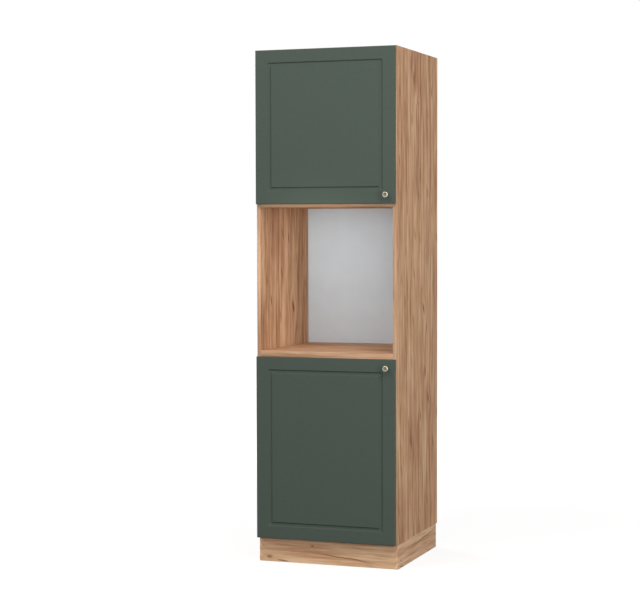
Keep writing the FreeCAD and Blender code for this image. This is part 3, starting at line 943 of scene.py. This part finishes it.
@dataclass(frozen=True)
class Knob:
    """A turned knob: stepped base, slim neck, flared head with a broad round rim and a dimple in its face."""

    storey: Storey
    base_radius: float = 0.0070
    base_height: float = 0.0020
    base_corner: float = 0.0005
    base_slope: float = 0.0016
    neck_radius: float = 0.0045
    neck_end: float = 0.0085
    flare_end: float = 0.0172
    rim_radius: float = 0.0040
    dimple_depth: float = 0.0012
    corner_steps: int = 4
    fillet_steps: int = 5
    flare_steps: int = 9
    rim_steps: int = 16
    dimple_steps: int = 6
    round_steps: int = 64

    def build(self) -> None:
        """Models the knob where the frame has it."""
        which = self.storey.value
        node = f"{which}_knob"
        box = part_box(node)
        middle = centre_of(box)
        foot = Vector((middle.x, box[1].y, middle.z))
        mesh = bmesh.new()
        outline = self.outline((box[1].x - box[0].x) / 2, box[1].y - box[0].y)
        lathe(mesh, outline, foot, Way.FRONT.vector(), self.round_steps)
        finish = TurnedMetal(f"{which}_champagne", tuple(middle)).material()
        Piece(f"{which}_turned_knob", f"{which}_door", "champagne_knob", node).add(mesh, [finish])

    def outline(self, radius: float, length: float) -> Outline:
        """Draws half of the knob's section.

        Args:
            radius: The head's radius.
            length: How far the head stands out from the door.

        Returns:
            Pairs of radius and height, from the foot to the middle of the dimple.
        """
        corner = self.base_corner
        shoulder = self.base_radius - corner
        base = [(0.0, 0.0), (self.base_radius, 0.0)]
        base += arc((shoulder, self.base_height - corner), (corner, corner), 0.0, 90.0, self.corner_steps)
        fillet = min(shoulder - self.neck_radius, self.base_slope)
        neck_start = (shoulder, self.base_height + self.base_slope)
        base += arc(neck_start, (fillet, fillet), 270.0, 180.0, self.fillet_steps)[1:]
        reach = (radius - self.neck_radius, self.flare_end - self.neck_end)
        flare = arc((radius, self.neck_end), reach, 180.0, 90.0, self.flare_steps)
        rim_middle = (radius - self.rim_radius, length - self.rim_radius)
        rim = arc(rim_middle, (self.rim_radius, self.rim_radius), 0.0, 180.0, self.rim_steps)
        edge = radius - 2 * self.rim_radius
        ball = (edge ** 2 + self.dimple_depth ** 2) / (2 * self.dimple_depth)
        half = math.degrees(math.asin(edge / ball))
        floor = length - self.rim_radius - self.dimple_depth
        dimple = arc((0.0, floor + ball), (ball, ball), 270.0 + half, 270.0, self.dimple_steps)[1:]
        return base + flare + rim + dimple


@dataclass(frozen=True)
class RecessedHead:
    """A turned fixing with a cross recess in its head: a screw, or a cam that a driver turns."""

    head_height: float
    dome: float
    recess_depth: float
    recess_reach: float = 0.52
    recess_waist: float = 0.2
    recess_floor: float = 0.55
    recess_power: int = 3
    mouth_margin: float = 1.12
    point: float = 0.0
    point_share: float = 0.4
    shank_share: float = 1.0
    crown_steps: int = 5
    round_steps: int = 24

    def build(self, mesh: Mesh, box: Box, way: Way) -> None:
        """Models one fixing in the space of its solid.

        Args:
            mesh: The mesh that it is added to.
            box: The solid's box.
            way: The way that the head faces.
        """
        out = way.vector()
        size = box[1] - box[0]
        axis = max(range(3), key=lambda index: abs(out[index]))
        length = size[axis]
        radius = max(size[index] for index in range(3) if index != axis) / 2
        foot = centre_of(box) - out * length / 2
        shank = radius * self.shank_share
        tip = shank * self.point_share if self.point else shank
        under = length - self.head_height
        mouth = math.degrees(math.acos(self.recess_reach * self.mouth_margin))
        crown = arc((0.0, length - self.dome), (radius, self.dome), 0.0, mouth, self.crown_steps)
        top = crown[-1][1]
        stretch = (length - top) / (top - under)
        crown = [(reach, height + stretch * (height - under)) for reach, height in crown]
        outline = [(0.0, 0.0), (tip, 0.0), (shank, self.point), (shank, under), (radius, under)] + crown
        verts = lathe(mesh, outline, foot, out, self.round_steps)
        self.cut_cross(mesh, verts, foot + out * length, out, radius)

    def cut_cross(self, mesh: Mesh, verts: Iterable[bmesh.types.BMVert], crown: Vector, out: Vector,
                  radius: float) -> None:
        """Sinks a cross recess into the open top of a head.

        Args:
            mesh: The mesh that holds the head.
            verts: The head's points.
            crown: The point on its axis at its top.
            out: The way that it faces.
            radius: Its radius.
        """
        side = out.orthogonal().normalized()
        other = out.cross(side)
        spare = self.recess_reach - self.recess_waist
        ring = [edge for edge in edges_at(verts) if edge.is_boundary]
        for depth, shrink in ((0.0, 1.0), (self.recess_depth, self.recess_floor)):
            grown = bmesh.ops.extrude_edge_only(mesh, edges=ring)["geom"]
            for vert in (item for item in grown if isinstance(item, bmesh.types.BMVert)):
                offset = vert.co - crown
                turn = math.atan2(offset.dot(other), offset.dot(side))
                arm = abs(math.cos(2 * turn)) ** self.recess_power
                reach = radius * shrink * (self.recess_waist + spare * arm)
                vert.co = crown - out * depth + (side * math.cos(turn) + other * math.sin(turn)) * reach
            ring = [item for item in grown if isinstance(item, bmesh.types.BMEdge) and item.is_boundary]
        bmesh.ops.contextual_create(mesh, geom=ring)


@dataclass(frozen=True)
class FixingGroup:
    """A node of like fixings, each modelled where its solid lies."""

    name: str
    node: str
    body: str
    head: RecessedHead
    way: Union[Way, Callable[[Box], Way]]

    def build(self, material: Material) -> None:
        """Models every fixing of the group.

        Args:
            material: Their plated finish.
        """
        mesh = bmesh.new()
        for box in solid_boxes(self.node):
            self.head.build(mesh, box, self.way if isinstance(self.way, Way) else self.way(box))
        Piece(self.name, self.body, "zinc_fitting", self.node).add(mesh, [material])


def plinth_screw_way(box: Box) -> Way:
    """Finds the way that a plinth screw's head faces: inwards, or down from the bottom panel.

    Args:
        box: The screw's box.

    Returns:
        The way.
    """
    size = box[1] - box[0]
    middle = centre_of(box)
    if size.z > max(size.x, size.y):
        return Way.DOWN
    if size.x > size.y:
        return Way.RIGHT if middle.x < 0 else Way.LEFT
    return Way.BACK if middle.y < 0 else Way.FRONT


def cam_way(box: Box) -> Way:
    """Finds the way that a cam faces: down under the oven shelf and the bottom panel, and else up."""
    levels = [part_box(node)[0].z for node in ("oven_shelf", "bottom_panel")]
    return Way.DOWN if any(abs(box[0].z - level) < CAM_FLUSH for level in levels) else Way.UP


@dataclass(frozen=True)
class Carcass:
    """The boards, back, edge bands and fittings that stand still."""

    band_round: float = 0.0006
    band_steps: int = 3
    plinth_screw: RecessedHead = RecessedHead(head_height=0.0022, dome=0.0012, recess_depth=0.0014,
                                              recess_reach=0.5, point=0.006, shank_share=0.5)
    cam: RecessedHead = RecessedHead(head_height=0.0015, dome=0.0004, recess_depth=0.0026,
                                     recess_reach=0.42, recess_waist=0.14)
    front_shake: Shake = Shake(start=-0.14, end=0.24, height=0.055, fall=0.107, half_width=0.0024,
                               knots=(Knot(-0.068, 0.073, 0.010, 0.006), Knot(-0.257, 0.020, 0.018, 0.010)))
    side_shake: Shake = Shake(start=-0.10, end=0.30, height=0.058, fall=-0.06, half_width=0.0022,
                              knots=(Knot(-0.21, 0.03, 0.012, 0.006),))

    SIDES: ClassVar[Tuple[str, ...]] = ("left_side_panel", "right_side_panel")
    LEVELS: ClassVar[Tuple[str, ...]] = ("top_panel", "niche_top_panel", "oven_shelf", "bottom_panel",
                                         "lower_shelf", "upper_shelf")

    def build(self) -> None:
        """Dresses the boards and the back, and models the bands and fittings."""
        self.boards()
        sheet = CoatedSheet().material()
        for storey in Storey:
            dress(f"{storey.value}_back_panel", sheet)
        self.bands()
        self.fittings()

    def boards(self) -> None:
        """Dresses each kind of board in a decor with its grain along the board."""
        kinds = (
            (OakDecor("oak_side", Axis.UP, Axis.ACROSS, coarse=1.7, offset=2.57), self.SIDES),
            (OakDecor("oak_level", Axis.ACROSS, Axis.UP), self.LEVELS),
            (OakDecor("oak_cross", Axis.ACROSS, Axis.DEPTH), ("wall_rail", "plinth_back")),
            (PlinthDecor("oak_plinth_front", Axis.ACROSS, Axis.DEPTH, shake=self.front_shake),
             ("plinth_front",)),
            (PlinthDecor("oak_plinth_side", Axis.DEPTH, Axis.ACROSS, shake=self.side_shake,
                         banded_front=True), ("plinth_left", "plinth_right")),
        )
        for decor, nodes in kinds:
            material = decor.material()
            for node in nodes:
                dress(node, material)

    def bands(self) -> None:
        """Models an edge band on the front of each board, with its front corners rounded."""
        mesh = bmesh.new()
        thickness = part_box("left_side_panel")[0].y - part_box("front_edge_bands")[0].y
        for board in self.SIDES + self.LEVELS:
            low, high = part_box(board)
            box = (Vector((low.x, low.y - thickness, low.z)), Vector((high.x, low.y, high.z)))
            size = box[1] - box[0]
            before = set(mesh.faces)
            place = Matrix.Translation(centre_of(box)) @ Matrix.Diagonal((*size, 1.0))
            corners = bmesh.ops.create_cube(mesh, size=1.0, matrix=place)["verts"]
            middle = centre_of(box).y
            front = [edge for edge in edges_at(corners) if all(vert.co.y < middle for vert in edge.verts)]
            bmesh.ops.bevel(mesh, geom=front, offset=self.band_round, affect="EDGES",
                            segments=self.band_steps, profile=0.5, material=-1)
            for face in set(mesh.faces) - before:
                face.material_index = 0 if size.z > size.x else 1
        finishes = [OakEdging("upright_edging", grain=Axis.UP).material(),
                    OakEdging("level_edging", grain=Axis.ACROSS).material()]
        Piece("rounded_edge_bands", CARCASS, "oak_decor_edging", "front_edge_bands").add(mesh, finishes)

    def fittings(self) -> None:
        """Dresses the hidden fittings and models the plinth screws and cams."""
        zinc = PlatedSteel("zinc_fitting", ZINC).material()
        nickel = PlatedSteel("nickel_pin", PIN_NICKEL, grain=Axis.ACROSS).material()
        plastic = MouldedPlastic("white_plastic", WHITE).material()
        dress("cam_bolts", zinc)
        dress("wood_dowels", BeechWood().material())
        dress("back_joint_strip", plastic)
        for storey in Storey:
            dress(f"{storey.value}_shelf_pins", nickel)
        for corner in PLINTH_CORNERS:
            dress(f"plinth_block_{corner}", plastic)
        FixingGroup("recessed_plinth_screws", "plinth_screws", CARCASS, self.plinth_screw,
                    plinth_screw_way).build(zinc)
        FixingGroup("recessed_cam_locks", "cam_locks", CARCASS, self.cam, cam_way).build(zinc)


@dataclass(frozen=True)
class Door:
    """One door with its knob, bumpers and hinges."""

    storey: Storey
    bumper_side: float = 0.0008
    bumper_steps: int = 8
    bumper_round_steps: int = 32
    cup_screw: RecessedHead = RecessedHead(head_height=0.0014, dome=0.0009, recess_depth=0.0009,
                                           point=0.004, shank_share=0.5)
    plate_screw: RecessedHead = RecessedHead(head_height=0.0018, dome=0.0011, recess_depth=0.0012,
                                             point=0.004, shank_share=0.6)
    arm_screw: RecessedHead = RecessedHead(head_height=0.0024, dome=0.0008, recess_depth=0.0016,
                                           recess_reach=0.55, shank_share=0.62)
    knob_screw: RecessedHead = RecessedHead(head_height=0.0020, dome=0.0011, recess_depth=0.0013,
                                            shank_share=0.5)

    def own(self, name: str) -> str:
        """Names one of this door's own nodes, pieces or finishes."""
        return f"{self.storey.value}_{name}"

    def build(self, coat: Material) -> None:
        """Dresses the door and models its small pieces.

        Args:
            coat: The doors' shared coating.
        """
        dress(self.own("door_panel"), coat)
        Knob(self.storey).build()
        self.bumpers()
        self.hinges()

    def bumpers(self) -> None:
        """Models the soft dots with domed faces."""
        node = self.own("door_bumpers")
        mesh = bmesh.new()
        for box in solid_boxes(node):
            radius = (box[1].x - box[0].x) / 2
            rise = box[1].y - box[0].y - self.bumper_side
            dome = arc((0.0, self.bumper_side), (radius, rise), 0.0, 90.0, self.bumper_steps)
            middle = centre_of(box)
            foot = Vector((middle.x, box[0].y, middle.z))
            outline = [(0.0, 0.0), (radius, 0.0)] + dome
            lathe(mesh, outline, foot, Way.BACK.vector(), self.bumper_round_steps)
        clear = MouldedPlastic(self.own("clear_bumper"), CLEAR, roughness=0.25, clear=0.6).material()
        Piece(self.own("domed_bumpers"), self.own("door"), "clear_bumper", node).add(mesh, [clear])

    def hinges(self) -> None:
        """Dresses the hinges and models their screws and the knob's."""
        nickel = PlatedSteel(self.own("nickel"), HINGE_NICKEL).material()
        zinc = PlatedSteel(self.own("zinc"), ZINC).material()
        for end in HINGE_ENDS:
            for piece in HINGE_PIECES:
                dress(self.own(f"{end}_hinge_{piece}"), nickel)
        door = self.own("door")
        groups = (
            ("hinge_cup_screws", door, self.cup_screw, Way.BACK),
            ("hinge_plate_screws", CARCASS, self.plate_screw, Way.RIGHT),
            ("hinge_arm_screws", CARCASS, self.arm_screw, Way.RIGHT),
            ("knob_screw", door, self.knob_screw, Way.BACK),
        )
        for kind, body, head, way in groups:
            FixingGroup(self.own(f"recessed_{kind}"), self.own(kind), body, head, way).build(zinc)


@dataclass(frozen=True)
class PhotoCamera:
    """The camera that took the view, in metres, degrees and pixels of a 640 by 614 picture."""

    picture_width: float = 640.0
    focal_pixels: float = 1747.11
    sensor: float = 36.0
    far: float = 100.0
    place: Place = (2.39399, -6.91862, 1.37650)
    level: float = 90.0
    yaw: float = 19.994
    pitch: float = -2.593
    roll: float = -0.129

    def build(self) -> None:
        """Adds the camera and makes it the scene's own."""
        turns = ((self.yaw, "Z"), (self.level + self.pitch, "X"), (self.roll, "Z"))
        pan, tilt, lean = (Matrix.Rotation(math.radians(angle), 4, axis) for angle, axis in turns)
        data = bpy.data.cameras.new("photo_camera")
        data.sensor_width = self.sensor
        data.lens = self.focal_pixels / self.picture_width * self.sensor
        data.clip_end = self.far
        camera = bpy.data.objects.new("photo_camera", data)
        camera.matrix_world = Matrix.Translation(self.place) @ pan @ tilt @ lean
        bpy.context.scene.collection.objects.link(camera)
        bpy.context.scene.camera = camera


@dataclass(frozen=True)
class SoftLamp:
    """A soft round lamp, aimed at the middle of the cabinet unless it has a target of its own."""

    name: str
    place: Place
    size: float
    power: float
    target: Place = (0.0, 0.0, 1.05)
    spread: float = 180.0
    mirrored: bool = True

    def build(self) -> None:
        """Adds the lamp, unseen by the camera."""
        data = bpy.data.lights.new(self.name, "AREA")
        data.shape = "DISK"
        data.size = self.size
        data.energy = self.power
        data.spread = math.radians(self.spread)
        lamp = bpy.data.objects.new(self.name, data)
        lamp.location = self.place
        lamp.rotation_mode = "QUATERNION"
        lamp.rotation_quaternion = (Vector(self.target) - Vector(self.place)).to_track_quat("-Z", "Y")
        lamp.visible_camera = False
        lamp.visible_glossy = self.mirrored
        bpy.context.scene.collection.objects.link(lamp)


@dataclass(frozen=True)
class Studio:
    """A pale floor in a white room with soft light."""

    white: Colour = (1.0, 1.0, 1.0)
    ambient: float = 0.30
    floor_half: float = 14.0
    floor_drop: float = 0.0005
    floor_glow: float = 0.7
    floor_white: Span = (1.16, 1.4)
    floor_reach: Span = (1.2, 3.6)
    floor_colour: Colour = (0.82, 0.82, 0.82)
    bounce_colour: Colour = (0.16, 0.16, 0.16)
    lamps: Tuple[SoftLamp, ...] = (
        SoftLamp("right_key", place=(2.6, -3.0, 4.4), size=2.4, power=96.0),
        SoftLamp("left_key", place=(-1.5, -3.2, 4.4), size=2.4, power=76.0),
        SoftLamp("side_fill", place=(4.6, -3.4, 1.4), size=2.0, power=110.0),
        SoftLamp("front_fill", place=(0.3, -6.3, 1.6), size=2.0, power=68.0),
        SoftLamp("niche_fill", place=(0.13, -0.84, 1.2), size=0.36, power=0.44, target=(-0.17, 0.29, 1.27),
                 spread=48.0, mirrored=False),
        SoftLamp("back_fill", place=(-3.4, 2.6, 2.6), size=2.0, power=90.0),
    )

    def build(self) -> None:
        """Adds the world, the floor and the lamps."""
        bpy.context.scene.view_settings.view_transform = "Standard"
        self.world()
        self.floor()
        for lamp in self.lamps:
            lamp.build()

    def world(self) -> None:
        """Lights the room evenly and shows it white."""
        world = bpy.data.worlds.new("white_room")
        nodes = Nodes(world)
        light, white = (nodes.node("ShaderNodeBackground", self.white, strength).outputs[0]
                        for strength in (self.ambient, 1.0))
        choice = nodes.node("ShaderNodeMixShader", nodes.seen(), light, white)
        nodes.node("ShaderNodeOutputWorld", choice.outputs[0])
        bpy.context.scene.world = world

    def floor(self) -> None:
        """Lays the floor, nearly white to the camera, with the object's shadow on it."""
        mesh = bmesh.new()
        place = Matrix.Translation((0.0, 0.0, -self.floor_drop))
        bmesh.ops.create_grid(mesh, x_segments=1, y_segments=1, size=self.floor_half, matrix=place)
        data = bpy.data.meshes.new("studio_floor")
        mesh.to_mesh(data)
        mesh.free()
        data.materials.append(self.floor_material())
        floor = bpy.data.objects.new("studio_floor", data)
        bpy.context.scene.collection.objects.link(floor)

    def floor_material(self) -> Material:
        """Makes the floor's finish.

        Returns:
            The material, bright where it is seen and dim where it only lights the object.
        """
        graph = Graph("studio_floor")
        matt, dim = (graph.node("ShaderNodeBsdfDiffuse", colour).outputs[0]
                     for colour in (self.floor_colour, self.bounce_colour))
        away = graph.reach(graph.parts[0], graph.parts[1])
        bright = graph.ease(away, self.floor_reach, self.floor_white)
        glow = graph.node("ShaderNodeEmission", self.white, bright).outputs[0]
        lit = graph.node("ShaderNodeMixShader", self.floor_glow, matt, glow).outputs[0]
        choice = graph.node("ShaderNodeMixShader", graph.seen(), dim, lit)
        graph.node("ShaderNodeOutputMaterial", choice.outputs[0])
        return graph.owner


def main() -> None:
    """Builds the cabinet's looks, the camera and the studio, in order."""
    logging.basicConfig(level=logging.INFO)
    PhotoCamera().build()
    Carcass().build()
    coat = GreenCoat().material()
    for storey in Storey:
        Door(storey).build(coat)
    Studio().build()


if __name__ == "__main__":
    main()
